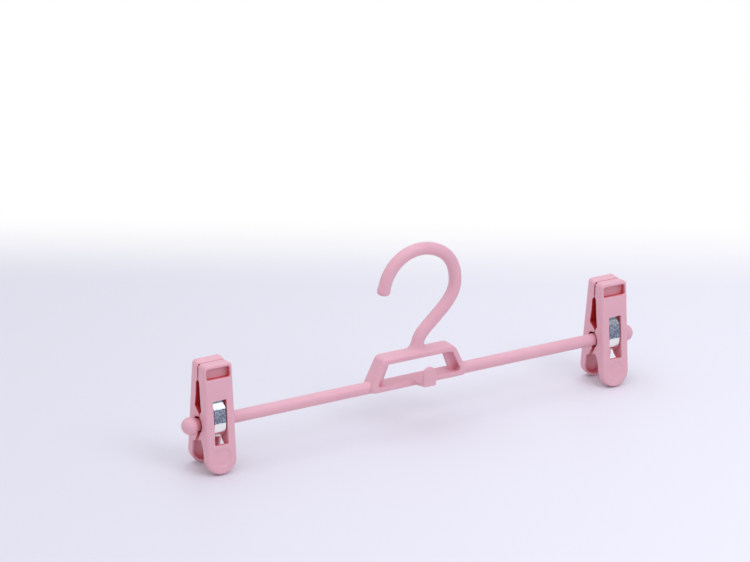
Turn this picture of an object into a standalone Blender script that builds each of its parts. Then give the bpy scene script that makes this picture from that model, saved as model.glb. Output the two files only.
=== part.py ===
# Trouser hanger: one moulded hook, frame and bar, and two sprung clips that slide and swivel on the bar.
# X runs along the bar, Y from front to back and Z up. The hanger stands on the four handle tips at Z = 0.
import math

import bmesh
import bpy
from mathutils import Matrix, Vector
from mathutils.geometry import interpolate_bezier

# Gap between two solids that touch on the real object, and the overrun of every cut
TOUCH_GAP = 0.0003
CUT_OVERRUN = 0.004

# Bar and its end balls
BAR_DIAMETER = 0.0074
BALL_DIAMETER = 0.0106
BALL_SPACING = 0.2994

# Jaw, front view
JAW_WIDTH = 0.0186
JAW_LENGTH = 0.0666
HANDLE_LENGTH = 0.0286
JAW_CORNER_RADIUS = 0.0024
JAW_EDGE_ROUND = 0.0015
WINDOW_WIDTH = 0.0086
WINDOW_DROP = 0.0101
WINDOW_RISE = 0.0165
WINDOW_CORNER = 0.0008
RECESS_WIDTH = 0.0151
RECESS_HEIGHT = 0.0064
RECESS_TOP_LAND = 0.0023
RECESS_CORNER = 0.0011
RECESS_DEPTH = 0.0050

# Jaw, side view: half depths from the plane between the jaws
JAW_TOP_DEPTH = 0.0075
HANDLE_TIP_DEPTH = 0.0140
JAW_PLATE = 0.0022
JAW_SIDE_WALL = 0.0015
HANDLE_WALL = 0.0019
GRIP_HEIGHT = 0.0091
TOOTH_COUNT = 6
TOOTH_DEPTH = 0.0006
MOUTH_TOP_DEPTH = 0.0024
MOUTH_FOOT_DEPTH = 0.0038
NOSE_SLOPE_HEIGHT = 0.0045
UPPER_NOSE_TIP = 0.0012
UPPER_NOSE_ROOF = 0.0005
LOWER_NOSE_GAP = 0.0011
LOWER_NOSE_DEPTH = 0.0027
LOWER_NOSE_DROP = 0.0098
LOWER_NOSE_FOOT = 0.0021
HANDLE_SHOULDER_DEPTH = 0.0056
HANDLE_SHOULDER_DROP = 0.0126
HANDLE_RIM_DEPTH = 0.0080
BAR_PLAY = 0.0012
RIB_THICKNESS = 0.0016
RIB_HEIGHT = 0.0030

# Spring strip
SPRING_WIDTH = 0.0078
SPRING_THICKNESS = 0.0008
SPRING_PROUD = -0.0004
SPRING_ARM_ANGLE = 139.0
SPRING_TIP_RADIUS = 0.0011
SPRING_TIP_ANGLE = 100.0

# Frame on the middle of the bar
FRAME_RISE = 0.0180
FRAME_DROP = 0.0026
FRAME_TOP_WIDTH = 0.0490
FRAME_BOTTOM_WIDTH = 0.0694
FRAME_DEPTH = 0.0115
FRAME_WALL = 0.0034
FRAME_TOP_RADIUS = 0.0040
FRAME_BOTTOM_RADIUS = 0.0030
FRAME_HOLE_RADIUS = 0.0010
FRAME_EDGE_ROUND = 0.0011
WEB_WIDTH = 0.0053
WEB_THICKNESS = 0.0020

# Hook
HOOK_ROD = 0.0076
HOOK_RADIUS = 0.0243
HOOK_RISE = 0.0567
HOOK_SHIFT = 0.0020
NECK_SHIFT = 0.0010
HOOK_TIP_ANGLE = 180.5
HOOK_SWELL = 0.00075
HOOK_SWELL_ANGLE = 38.0
HOOK_SWELL_SPREAD = 28.0
HOOK_PULL = 0.0093
HOOK_TIP_ROUND = 0.0022
NECK_FILLET = 0.0055
NECK_FILLET_DEPTH = 0.0016
BEND_X = 0.0145
BEND_RISE = 0.0379
BEND_ANGLE = 224.0
BEND_PULL_ABOVE = 0.0022
BEND_PULL_BELOW = 0.0150
NECK_PULL = 0.0098

# Lug on the lower rail, for the hook of a second hanger
LUG_WIDTH = 0.0084
LUG_REACH = 0.0173
LUG_TAB = 0.0022
LUG_TAB_HEIGHT = 0.0121
LUG_TAB_LIFT = 0.0032
LUG_ROOT_LIFT = 0.0005
LUG_ROOT_THICKNESS = 0.0036
LUG_SHELF_LIFT = 0.0052
LUG_CORNER = 0.0013
LUG_FILLET = 0.0018
LUG_EDGE_ROUND = 0.0004

# Facets
ROUND_SIDES = 24
HOOK_SIDES = 16
CORNER_STEPS = 4

# What follows is worked out from the sizes above
bar_radius = BAR_DIAMETER / 2
ball_radius = BALL_DIAMETER / 2
half_width = JAW_WIDTH / 2
depth_slope = (HANDLE_TIP_DEPTH - JAW_TOP_DEPTH) / JAW_LENGTH
lean = math.atan(depth_slope)
tip_lift = (HANDLE_TIP_DEPTH - HANDLE_RIM_DEPTH) * depth_slope
tip_reach = HANDLE_TIP_DEPTH - JAW_EDGE_ROUND * (math.sin(lean) + math.cos(lean) - 1)
bar_z = HANDLE_LENGTH
bar_y = (LUG_REACH - tip_reach) / 2
hole_radius = bar_radius + BAR_PLAY
nose_z = bar_z + hole_radius + UPPER_NOSE_ROOF
fulcrum_z = nose_z + UPPER_NOSE_TIP / 2
stub_length = ball_radius + TOUCH_GAP
clip_x = BALL_SPACING / 2 - math.sqrt(ball_radius ** 2 - bar_radius ** 2) - TOUCH_GAP * 3 - half_width
inner_half_gap = TOUCH_GAP / 2


def outer_depth(z):
    """Half depth of a jaw's flat outer face at a height above the floor."""
    return HANDLE_TIP_DEPTH - depth_slope * (z - tip_lift)


def remove_old_scene():
    for old in list(bpy.data.objects):
        bpy.data.objects.remove(old, do_unlink=True)
    for old in list(bpy.data.collections):
        bpy.data.collections.remove(old)


def new_collection(name):
    collection = bpy.data.collections.new(name)
    bpy.context.scene.collection.children.link(collection)
    return collection


def new_material(name, color, roughness, metallic):
    material = bpy.data.materials.new(name)
    material.use_nodes = True
    shader = material.node_tree.nodes["Principled BSDF"]
    shader.inputs["Base Color"].default_value = (*color, 1.0)
    shader.inputs["Roughness"].default_value = roughness
    shader.inputs["Metallic"].default_value = metallic
    return material


remove_old_scene()
parts = new_collection("trouser_hanger")
cutters = new_collection("cutters")
pink_plastic = new_material("pink_plastic", (0.69, 0.37, 0.48), 0.42, 0.0)
zinc_steel = new_material("zinc_steel", (0.62, 0.65, 0.68), 0.28, 1.0)


def arc(center, radius, start, end, steps):
    """Points of a circle's arc, with its angles in degrees."""
    points = []
    for step in range(steps + 1):
        angle = math.radians(start + (end - start) * step / steps)
        points.append((center[0] + radius * math.cos(angle), center[1] + radius * math.sin(angle)))
    return points


def rounded(corners, radii, steps=CORNER_STEPS):
    """Outline of a polygon whose corners are rounded, each with its own radius."""
    outline = []
    for index, corner in enumerate(corners):
        here = Vector(corner)
        before = Vector(corners[index - 1])
        after = Vector(corners[(index + 1) % len(corners)])
        radius = radii[index] if isinstance(radii, (list, tuple)) else radii
        if radius == 0:
            outline.append(tuple(here))
            continue
        to_before = (before - here).normalized()
        to_after = (after - here).normalized()
        half_angle = to_before.angle(to_after) / 2
        middle = here + (to_before + to_after).normalized() * (radius / math.sin(half_angle))
        reach = radius / math.tan(half_angle)
        first = here + to_before * reach - middle
        last = here + to_after * reach - middle
        turn = first.angle_signed(last)
        for step in range(steps + 1):
            angle = -turn * step / steps
            spin = Matrix.Rotation(angle, 2)
            outline.append(tuple(middle + spin @ first))
    return outline


def to_mesh(curve_object):
    """Turns a curve object into a welded mesh object in the cutters collection."""
    graph = bpy.context.evaluated_depsgraph_get()
    mesh = bpy.data.meshes.new_from_object(curve_object.evaluated_get(graph))
    solid = bmesh.new()
    solid.from_mesh(mesh)
    bmesh.ops.remove_doubles(solid, verts=solid.verts, dist=TOUCH_GAP / 100)
    bmesh.ops.recalc_face_normals(solid, faces=solid.faces)
    solid.to_mesh(mesh)
    solid.free()
    name = curve_object.name
    stand = curve_object.matrix_world.copy()
    bpy.data.objects.remove(curve_object, do_unlink=True)
    mesh_object = bpy.data.objects.new(name, mesh)
    mesh_object.matrix_world = stand
    cutters.objects.link(mesh_object)
    mesh_object.hide_render = True
    mesh_object.display_type = "WIRE"
    return mesh_object


FRONT_VIEW = Matrix(((1, 0, 0, 0), (0, 0, -1, 0), (0, 1, 0, 0), (0, 0, 0, 1)))
SIDE_VIEW = Matrix(((0, 0, 1, 0), (1, 0, 0, 0), (0, 1, 0, 0), (0, 0, 0, 1)))


def extruded(name, outlines, thickness, view, middle=(0, 0, 0), edge_round=0.0):
    """Flat outline drawn in the front view (X, Z) or the side view (Y, Z), with a thickness across it."""
    curve = bpy.data.curves.new(name, "CURVE")
    curve.dimensions = "2D"
    curve.fill_mode = "BOTH"
    curve.extrude = thickness / 2 - edge_round
    curve.bevel_depth = edge_round
    curve.bevel_resolution = 2
    curve.offset = -edge_round
    for outline in outlines:
        spline = curve.splines.new("POLY")
        spline.points.add(len(outline) - 1)
        for point, place in zip(spline.points, outline):
            point.co = (*place, 0, 1)
        spline.use_cyclic_u = True
    curve_object = bpy.data.objects.new(name, curve)
    curve_object.matrix_world = Matrix.Translation(middle) @ view
    bpy.context.scene.collection.objects.link(curve_object)
    bpy.context.view_layer.update()
    return to_mesh(curve_object)


def blank_object(name, solid):
    """Hidden object in the cutters collection, made from a bmesh that it frees."""
    mesh = bpy.data.meshes.new(name)
    solid.to_mesh(mesh)
    solid.free()
    blank = bpy.data.objects.new(name, mesh)
    cutters.objects.link(blank)
    blank.hide_render = True
    blank.display_type = "WIRE"
    return blank


def cut(body, tool, operation="DIFFERENCE"):
    modifier = body.modifiers.new(tool.name, "BOOLEAN")
    modifier.operation = operation
    modifier.object = tool
    modifier.solver = "EXACT"


def finished_mesh(body, name):
    """Mesh of a body after its modifiers, with flat and round faces shaded apart."""
    bpy.context.view_layer.update()
    graph = bpy.context.evaluated_depsgraph_get()
    mesh = bpy.data.meshes.new_from_object(body.evaluated_get(graph))
    mesh.name = name
    mesh.transform(body.matrix_world)
    mesh.materials.clear()
    solid = bmesh.new()
    solid.from_mesh(mesh)
    bmesh.ops.remove_doubles(solid, verts=solid.verts, dist=TOUCH_GAP / 100)
    bmesh.ops.dissolve_degenerate(solid, edges=solid.edges, dist=TOUCH_GAP / 100)
    solid.to_mesh(mesh)
    solid.free()
    mesh.shade_smooth()
    mesh.set_sharp_from_angle(angle=math.radians(35))
    return mesh


def place_part(name, mesh, material, location=(0, 0, 0), turn=0.0, parent=None):
    mesh.materials.clear()
    mesh.materials.append(material)
    part = bpy.data.objects.new(name, mesh)
    part.location = location
    part.rotation_euler = (0, 0, math.radians(turn))
    part.parent = parent
    parts.objects.link(part)
    return part


def bevel(body, width, segments=2):
    modifier = body.modifiers.new("edges", "BEVEL")
    modifier.width = width
    modifier.segments = segments
    modifier.limit_method = "ANGLE"
    modifier.angle_limit = math.radians(40)


def frame_lines(inset):
    """Corners of the frame's trapezoid, moved inwards by a wall; they run anticlockwise from bottom left."""
    top = bar_z + FRAME_RISE - inset
    bottom = bar_z - FRAME_DROP + inset
    height = FRAME_RISE + FRAME_DROP
    side_slope = (FRAME_BOTTOM_WIDTH - FRAME_TOP_WIDTH) / 2 / height
    across = inset * math.sqrt(1 + side_slope ** 2)

    def half(z):
        return FRAME_BOTTOM_WIDTH / 2 - side_slope * (z - (bar_z - FRAME_DROP)) - across

    return [(-half(bottom), bottom), (half(bottom), bottom), (half(top), top), (-half(top), top)]


def make_frame():
    bottom_radius = FRAME_BOTTOM_RADIUS
    top_radius = FRAME_TOP_RADIUS
    outer = rounded(frame_lines(0), [bottom_radius, bottom_radius, top_radius, top_radius])
    hole = rounded(frame_lines(FRAME_WALL), FRAME_HOLE_RADIUS, 2)
    band = extruded("frame_band", [outer, hole], FRAME_DEPTH, FRONT_VIEW, (0, bar_y, 0))
    bevel(band, FRAME_EDGE_ROUND)
    inner = frame_lines(FRAME_WALL)
    embed = FRAME_WALL / 2
    for side in (-1, 1):
        low = inner[1][0]
        high = inner[2][0]
        web = [
            (side * (low - WEB_WIDTH), inner[1][1] - embed),
            (side * (low + embed), inner[1][1] - embed),
            (side * (high + embed), inner[2][1] + embed),
            (side * (high - WEB_WIDTH), inner[2][1] + embed),
        ]
        tool = extruded("web", [web], WEB_THICKNESS, FRONT_VIEW, (0, bar_y, 0))
        cut(band, tool, "UNION")
    return finished_mesh(band, "frame")


def make_bar():
    """Right-hand bar from the frame's sloping side to the end ball, with its origin under the frame's middle."""
    start = frame_lines(0)[2][0]
    end = BALL_SPACING / 2 - stub_length - TOUCH_GAP
    rod = bmesh.new()
    bmesh.ops.create_cone(
        rod,
        cap_ends=True,
        segments=ROUND_SIDES,
        radius1=bar_radius,
        radius2=bar_radius,
        depth=end - start,
        matrix=Matrix.Translation(((start + end) / 2, 0, 0)) @ Matrix.Rotation(math.radians(90), 4, "Y"),
    )
    blank = blank_object("bar_blank", rod)
    outside = frame_lines(-TOUCH_GAP)
    side_slope = (outside[1][0] - outside[2][0]) / (outside[2][1] - outside[1][1])
    low = outside[1][0] + side_slope * BAR_DIAMETER
    high = low - side_slope * BAR_DIAMETER * 2
    level = outside[1][1] - bar_z
    wedge = [(0, level - BAR_DIAMETER), (low, level - BAR_DIAMETER), (high, level + BAR_DIAMETER)]
    wedge.append((0, level + BAR_DIAMETER))
    cut(blank, extruded("frame_side", [wedge], FRAME_DEPTH, FRONT_VIEW))
    return finished_mesh(blank, "bar")


def make_ball():
    """End ball with a short stub of the bar, centred on its own origin, with the stub towards -X."""
    ball = bmesh.new()
    bmesh.ops.create_uvsphere(ball, u_segments=ROUND_SIDES, v_segments=ROUND_SIDES * 2 // 3, radius=ball_radius)
    bmesh.ops.rotate(ball, verts=ball.verts, matrix=Matrix.Rotation(math.radians(90), 3, "Y"))
    blank = blank_object("ball_blank", ball)
    stub = bmesh.new()
    bmesh.ops.create_cone(
        stub,
        cap_ends=True,
        segments=ROUND_SIDES,
        radius1=bar_radius,
        radius2=bar_radius,
        depth=stub_length,
        matrix=Matrix.Translation((-stub_length / 2, 0, 0)) @ Matrix.Rotation(math.radians(90), 4, "Y"),
    )
    cut(blank, blank_object("ball_stub", stub), "UNION")
    return finished_mesh(blank, "ball")


def hook_path():
    """Centre line of the hook in the front view, from its tip over the top and down to the rail."""
    center = (HOOK_SHIFT, bar_z + HOOK_RISE)
    steps = 22
    path = []
    for step in range(steps + 1):
        angle = HOOK_TIP_ANGLE * (1 - step / steps)
        swell = HOOK_SWELL * math.exp(-((angle - HOOK_SWELL_ANGLE) / HOOK_SWELL_SPREAD) ** 2)
        path += arc(center, HOOK_RADIUS + swell, angle, angle, 1)[:1]
    side = Vector(path[-1])
    bend = Vector((BEND_X, bar_z + BEND_RISE))
    foot = Vector((NECK_SHIFT, bar_z + FRAME_RISE + TOUCH_GAP))
    heading = Vector((math.cos(math.radians(BEND_ANGLE)), math.sin(math.radians(BEND_ANGLE))))
    down = Vector((0, -1))
    for start, leave, arrive, end, steps in (
        (side, side + down * HOOK_PULL, bend - heading * BEND_PULL_ABOVE, bend, 8),
        (bend, bend + heading * BEND_PULL_BELOW, foot - down * NECK_PULL, foot, 12),
    ):
        curve = interpolate_bezier(start, leave, arrive, end, steps + 1)
        path += [tuple(point) for point in curve[1:]]
    return path


def hook_section(travel, total, height):
    """Half width in the front view and half depth of the rod at a place along the hook."""
    rod = HOOK_ROD / 2
    if travel < HOOK_TIP_ROUND:
        gone = 1 - travel / HOOK_TIP_ROUND
        rod = rod - HOOK_TIP_ROUND * (1 - math.sqrt(1 - gone ** 2))
    wide = rod
    deep = rod
    if height < NECK_FILLET:
        drop = 1 - height / NECK_FILLET
        share = 1 - math.sqrt(1 - drop ** 2)
        wide = rod + NECK_FILLET * share
        deep = rod + NECK_FILLET_DEPTH * share
    return wide, deep


def make_hook():
    """Round rod that turns blunt at its tip and flares on the rail: a loft between unlike sections."""
    path = [Vector(point) for point in hook_path()]
    tip_steps = [HOOK_TIP_ROUND * share for share in (0, 0.08, 0.3, 0.6)]
    first = (path[1] - path[0]).normalized()
    start = path[0]
    path = [start + first * step for step in tip_steps] + [p for p in path if (p - start).length > HOOK_TIP_ROUND]
    foot_z = path[-1].y
    lofted = bmesh.new()
    rings = []
    travel = 0.0
    for index, place in enumerate(path):
        if index:
            travel += (place - path[index - 1]).length
        ahead = path[min(index + 1, len(path) - 1)]
        behind = path[max(index - 1, 0)]
        along = (ahead - behind).normalized()
        if index == len(path) - 1:
            along = Vector((0, -1))
        across = Vector((-along.y, along.x))
        wide, deep = hook_section(travel, len(path), place.y - foot_z)
        ring = []
        for side in range(HOOK_SIDES):
            angle = 2 * math.pi * side / HOOK_SIDES
            flat = place + across * (wide * math.cos(angle))
            ring.append(lofted.verts.new((flat.x, bar_y + deep * math.sin(angle), flat.y)))
        rings.append(ring)
    for ring, following in zip(rings, rings[1:]):
        for side in range(HOOK_SIDES):
            other = (side + 1) % HOOK_SIDES
            lofted.faces.new((ring[side], ring[other], following[other], following[side]))
    lofted.faces.new(rings[0])
    lofted.faces.new(rings[-1])
    bmesh.ops.recalc_face_normals(lofted, faces=lofted.faces)
    mesh = bpy.data.meshes.new("hook")
    lofted.to_mesh(mesh)
    lofted.free()
    mesh.shade_smooth()
    mesh.set_sharp_from_angle(angle=math.radians(35))
    return mesh


def make_lug():
    """Shelf that stands out of the lower rail, with an upright tab at its front."""
    root = FRAME_DEPTH / 2 + TOUCH_GAP
    base = bar_z - FRAME_DROP
    tab_low = base + LUG_TAB_LIFT
    tab_high = tab_low + LUG_TAB_HEIGHT
    front = bar_y - LUG_REACH
    back = bar_y - root
    inner = front + LUG_TAB
    profile = rounded(
        [
            (front, tab_low),
            (front, tab_high),
            (inner, tab_high),
            (inner, base + LUG_SHELF_LIFT),
            (back, base + LUG_ROOT_LIFT + LUG_ROOT_THICKNESS),
            (back, base + LUG_ROOT_LIFT),
        ],
        [LUG_CORNER, LUG_TAB / 3, LUG_TAB / 3, LUG_FILLET, 0, 0],
    )
    body = extruded("lug_body", [profile], LUG_WIDTH, SIDE_VIEW)
    half = LUG_WIDTH / 2
    shoulder = tab_high - half
    crown = arc((0, shoulder), half, 0, 180, 12)
    face = rounded([(-half, tab_low - CUT_OVERRUN), (half, tab_low - CUT_OVERRUN)], 0) + crown
    keep = extruded("lug_face", [face], LUG_REACH * 2, FRONT_VIEW, (0, front, 0))
    cut(body, keep, "INTERSECT")
    bevel(body, LUG_EDGE_ROUND, 1)
    return finished_mesh(body, "lug")


def mouth_outline():
    """Side view of the space between the jaws, on one jaw's side: depth from the middle plane, height."""
    far = -HANDLE_TIP_DEPTH * 2
    top = JAW_LENGTH
    grip_foot = top - GRIP_HEIGHT
    pitch = GRIP_HEIGHT / TOOTH_COUNT
    points = [(far, top + CUT_OVERRUN), (inner_half_gap + TOOTH_DEPTH, top + CUT_OVERRUN)]
    for tooth in range(TOOTH_COUNT):
        points.append((inner_half_gap + TOOTH_DEPTH, top - tooth * pitch))
        points.append((inner_half_gap, top - (tooth + 0.5) * pitch))
    points.append((inner_half_gap, grip_foot))
    nose_top = nose_z + UPPER_NOSE_TIP
    points.append((MOUTH_TOP_DEPTH, grip_foot - MOUTH_TOP_DEPTH / 2))
    points.append((MOUTH_FOOT_DEPTH, nose_top + NOSE_SLOPE_HEIGHT))
    points.append((inner_half_gap, nose_top))
    points.append((inner_half_gap, nose_z))
    end = -math.degrees(math.acos(LOWER_NOSE_GAP / hole_radius))
    points += arc((0, bar_z), hole_radius, 62, end, 8)
    nose_foot = bar_z - LOWER_NOSE_DROP
    points.append((LOWER_NOSE_DEPTH, nose_foot))
    points.append((LOWER_NOSE_DEPTH + LOWER_NOSE_FOOT / 3, nose_foot - LOWER_NOSE_FOOT))
    shoulder_z = bar_z - HANDLE_SHOULDER_DROP
    points.append((HANDLE_SHOULDER_DEPTH, shoulder_z))
    rim_slope = (HANDLE_RIM_DEPTH - HANDLE_SHOULDER_DEPTH) / shoulder_z
    points.append((HANDLE_RIM_DEPTH + rim_slope * CUT_OVERRUN, -CUT_OVERRUN))
    points.append((far, -CUT_OVERRUN))
    return points


def lean_slab(name, outline, first_depth, last_depth, edge_round=0.0):
    """Slab that lies along the jaw's outer face. Its outline is drawn on the face, in X and the height along it."""
    slab = extruded(name, [outline], last_depth - first_depth, FRONT_VIEW, edge_round=edge_round)
    slab.data.transform(slab.matrix_world)
    slab.data.transform(Matrix.Translation((0, (first_depth + last_depth) / 2, 0)))
    stand = Matrix.Translation((0, -HANDLE_TIP_DEPTH, tip_lift))
    slab.data.transform(stand @ Matrix.Rotation(-lean, 4, "X"))
    slab.matrix_world = Matrix.Identity(4)
    return slab


def along_face(z):
    """Height along the leaning outer face for a height above the floor."""
    return (z - tip_lift) / math.cos(lean)


def box_outline(half, bottom, top):
    return [(-half, bottom), (half, bottom), (half, top), (-half, top)]


def spring_radius():
    base = bar_z - bar_radius - TOUCH_GAP - SPRING_THICKNESS / 2
    return (outer_depth(base) + SPRING_PROUD) / (1 + depth_slope)


def make_jaw():
    """Front jaw with its bar at the middle of the clip: a leaning shell with noses, teeth and a window."""
    length = along_face(JAW_LENGTH)
    corners = [(half_width, length), (-half_width, length)]
    foot = arc((0, half_width), half_width, 180, 360, 18)
    outline = rounded(corners + [foot[0], foot[-1]], [JAW_CORNER_RADIUS, JAW_CORNER_RADIUS, 0, 0])
    outline = outline[:-2] + foot
    blank = lean_slab("jaw_blank", outline, 0, HANDLE_TIP_DEPTH * 3 / 2, JAW_EDGE_ROUND)

    mouth = [(-depth, z) for depth, z in mouth_outline()]
    cut(blank, extruded("mouth", [mouth], JAW_WIDTH + CUT_OVERRUN, SIDE_VIEW))

    cave_low = nose_z + UPPER_NOSE_TIP + NOSE_SLOPE_HEIGHT
    cave_top = JAW_LENGTH - GRIP_HEIGHT - MOUTH_TOP_DEPTH
    cave_half = half_width - JAW_SIDE_WALL
    cave = rounded(box_outline(cave_half, along_face(cave_low), along_face(cave_top)), WINDOW_CORNER, 2)
    cut(blank, lean_slab("cave", cave, JAW_PLATE, HANDLE_TIP_DEPTH * 2))

    window_half = WINDOW_WIDTH / 2
    ledge = WINDOW_CORNER / 4
    channel_low = bar_z - WINDOW_DROP - ledge
    channel = box_outline(window_half + ledge, along_face(channel_low), along_face(cave_top - WINDOW_CORNER))
    cut(blank, lean_slab("channel", channel, JAW_PLATE + ledge, HANDLE_TIP_DEPTH * 2))

    pocket_top = along_face(bar_z - HANDLE_SHOULDER_DROP)
    pocket_foot = arc((0, half_width), cave_half, 180, 360, 12)
    pocket = rounded(
        [(cave_half, pocket_top), (-cave_half, pocket_top), pocket_foot[0], pocket_foot[-1]],
        [WINDOW_CORNER, WINDOW_CORNER, 0, 0],
        2,
    )
    pocket = pocket[:-2] + pocket_foot
    cut(blank, lean_slab("pocket", pocket, HANDLE_WALL, HANDLE_TIP_DEPTH * 2))

    window = rounded(
        box_outline(window_half, along_face(bar_z - WINDOW_DROP), along_face(bar_z + WINDOW_RISE)),
        WINDOW_CORNER,
        2,
    )
    cut(blank, lean_slab("window", window, -CUT_OVERRUN, JAW_PLATE + CUT_OVERRUN / 4))

    recess_top = along_face(JAW_LENGTH - RECESS_TOP_LAND)
    recess = rounded(
        box_outline(RECESS_WIDTH / 2, recess_top - RECESS_HEIGHT, recess_top), RECESS_CORNER, 3
    )
    cut(blank, lean_slab("recess", recess, -CUT_OVERRUN, RECESS_DEPTH))

    radius = spring_radius()
    base = bar_z - bar_radius - TOUCH_GAP - SPRING_THICKNESS / 2
    arm = math.radians(SPRING_ARM_ANGLE)
    valley = radius * math.sin(arm) - SPRING_TIP_RADIUS * (1 - math.sin(arm))
    seat_depth = valley - SPRING_THICKNESS / 2 - TOUCH_GAP
    seat_z = base + radius * (1 - math.cos(arm)) - SPRING_TIP_RADIUS * math.cos(arm)
    rib = rounded(
        [
            (-seat_depth, seat_z - RIB_HEIGHT / 2),
            (-seat_depth + RIB_THICKNESS, seat_z - RIB_HEIGHT / 2),
            (-seat_depth + RIB_THICKNESS, seat_z + RIB_HEIGHT / 2),
            (-seat_depth, seat_z + RIB_HEIGHT / 2),
        ],
        RIB_THICKNESS / 3,
        2,
    )
    cut(blank, extruded("spring_rib", [rib], (cave_half + JAW_SIDE_WALL / 2) * 2, SIDE_VIEW), "UNION")
    mesh = finished_mesh(blank, "jaw")
    mesh.transform(Matrix.Translation((0, 0, -fulcrum_z)))
    return mesh


def spring_path():
    """Side view of the spring strip's middle: a ring that is open at the top, with tips that turn outwards."""
    radius = spring_radius()
    base = bar_z - bar_radius - TOUCH_GAP - SPRING_THICKNESS / 2
    center = (0, base + radius)
    half = arc(center, radius, -90, -90 + SPRING_ARM_ANGLE, 18)
    heading = SPRING_ARM_ANGLE
    end = half[-1]
    tip_center = (
        end[0] + SPRING_TIP_RADIUS * math.cos(math.radians(heading - 90)),
        end[1] + SPRING_TIP_RADIUS * math.sin(math.radians(heading - 90)),
    )
    tip = arc(tip_center, SPRING_TIP_RADIUS, heading + 90, heading + 90 - SPRING_TIP_ANGLE, 5)
    half += tip[1:]
    return [(-depth, z) for depth, z in reversed(half)] + half[1:]


def make_spring():
    curve = bpy.data.curves.new("spring_strip", "CURVE")
    curve.dimensions = "2D"
    curve.fill_mode = "NONE"
    curve.extrude = SPRING_WIDTH / 2
    path = spring_path()
    spline = curve.splines.new("POLY")
    spline.points.add(len(path) - 1)
    for point, place in zip(spline.points, path):
        point.co = (*place, 0, 1)
    strip = bpy.data.objects.new("spring_strip", curve)
    strip.matrix_world = SIDE_VIEW
    bpy.context.scene.collection.objects.link(strip)
    bpy.context.view_layer.update()
    sheet = to_mesh(strip)
    shell = sheet.modifiers.new("strip_thickness", "SOLIDIFY")
    shell.thickness = SPRING_THICKNESS
    shell.offset = 0
    shell.use_even_offset = True
    mesh = finished_mesh(sheet, "spring")
    mesh.transform(Matrix.Translation((0, 0, -fulcrum_z)))
    return mesh


def place_clip(side_name, x):
    """Empty on the fulcrum line, with the clip's two jaws and its spring on it."""
    fulcrum = bpy.data.objects.new(side_name + "_fulcrum", None)
    fulcrum.location = (x, bar_y, fulcrum_z)
    fulcrum.empty_display_size = JAW_WIDTH
    parts.objects.link(fulcrum)
    place_part(side_name + "_front_jaw", jaw_mesh, pink_plastic, parent=fulcrum)
    place_part(side_name + "_rear_jaw", jaw_mesh, pink_plastic, turn=180, parent=fulcrum)
    place_part(side_name + "_spring", spring_mesh, zinc_steel, parent=fulcrum)


place_part("hook", make_hook(), pink_plastic)
place_part("frame", make_frame(), pink_plastic)
place_part("lug", make_lug(), pink_plastic)
bar_mesh = make_bar()
place_part("left_bar", bar_mesh, pink_plastic, (0, bar_y, bar_z), 180)
place_part("right_bar", bar_mesh, pink_plastic, (0, bar_y, bar_z))
ball_mesh = make_ball()
place_part("left_ball", ball_mesh, pink_plastic, (-BALL_SPACING / 2, bar_y, bar_z), 180)
place_part("right_ball", ball_mesh, pink_plastic, (BALL_SPACING / 2, bar_y, bar_z))
jaw_mesh = make_jaw()
spring_mesh = make_spring()
place_clip("left", -clip_x)
place_clip("right", clip_x)
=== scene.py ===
# Pink plastic trouser hanger with two sprung clips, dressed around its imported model.
import math

import bmesh
import bpy
from mathutils import Matrix, Vector
from mathutils.geometry import interpolate_bezier


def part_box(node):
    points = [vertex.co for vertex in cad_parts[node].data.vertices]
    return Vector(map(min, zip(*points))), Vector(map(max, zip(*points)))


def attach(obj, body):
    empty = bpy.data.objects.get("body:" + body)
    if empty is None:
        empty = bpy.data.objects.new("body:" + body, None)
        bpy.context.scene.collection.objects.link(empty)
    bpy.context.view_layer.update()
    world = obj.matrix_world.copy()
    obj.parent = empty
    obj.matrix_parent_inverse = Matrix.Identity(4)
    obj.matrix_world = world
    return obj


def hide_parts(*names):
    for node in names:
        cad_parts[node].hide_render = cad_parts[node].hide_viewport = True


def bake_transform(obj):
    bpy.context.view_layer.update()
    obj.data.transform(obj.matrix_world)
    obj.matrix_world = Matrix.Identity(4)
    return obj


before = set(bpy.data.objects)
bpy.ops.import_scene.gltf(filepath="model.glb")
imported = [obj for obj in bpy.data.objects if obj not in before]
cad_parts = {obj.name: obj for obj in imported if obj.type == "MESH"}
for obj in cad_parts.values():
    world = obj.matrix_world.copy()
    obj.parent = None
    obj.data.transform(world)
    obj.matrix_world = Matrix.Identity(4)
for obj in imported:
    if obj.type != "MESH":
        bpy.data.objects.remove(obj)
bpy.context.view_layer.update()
millimetre = 0.001  # pieces are drawn in millimetres and scaled once at the end
print("frame loaded:", len(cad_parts), "nodes")


# Shared drawing tools

def onCircle(middle, radius, degrees):
    angle = math.radians(degrees)
    return (middle[0] + radius * math.cos(angle), middle[1] + radius * math.sin(angle))


def arcPoints(middle, radius, start, end, steps):
    return [onCircle(middle, radius, start + (end - start) * step / steps) for step in range(steps + 1)]


def roundCorners(corners, radii, steps=6, closed=True):
    outline = []
    for index, corner in enumerate(corners):
        radius = radii[index] if isinstance(radii, (list, tuple)) else radii
        atEnd = not closed and index in (0, len(corners) - 1)
        if radius == 0 or atEnd:
            outline.append(tuple(corner))
            continue
        here = Vector(corner)
        toBefore = (Vector(corners[index - 1]) - here).normalized()
        toAfter = (Vector(corners[(index + 1) % len(corners)]) - here).normalized()
        halfAngle = toBefore.angle(toAfter) / 2
        middle = here + (toBefore + toAfter).normalized() * (radius / math.sin(halfAngle))
        reach = radius / math.tan(halfAngle)
        first = here + toBefore * reach - middle
        last = here + toAfter * reach - middle
        turn = first.angle_signed(last)
        for step in range(steps + 1):
            spin = Matrix.Rotation(-turn * step / steps, 2)
            outline.append(tuple(middle + spin @ first))
    return outline


def boxOutline(half, low, high):
    return [(-half, low), (half, low), (half, high), (-half, high)]


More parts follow.
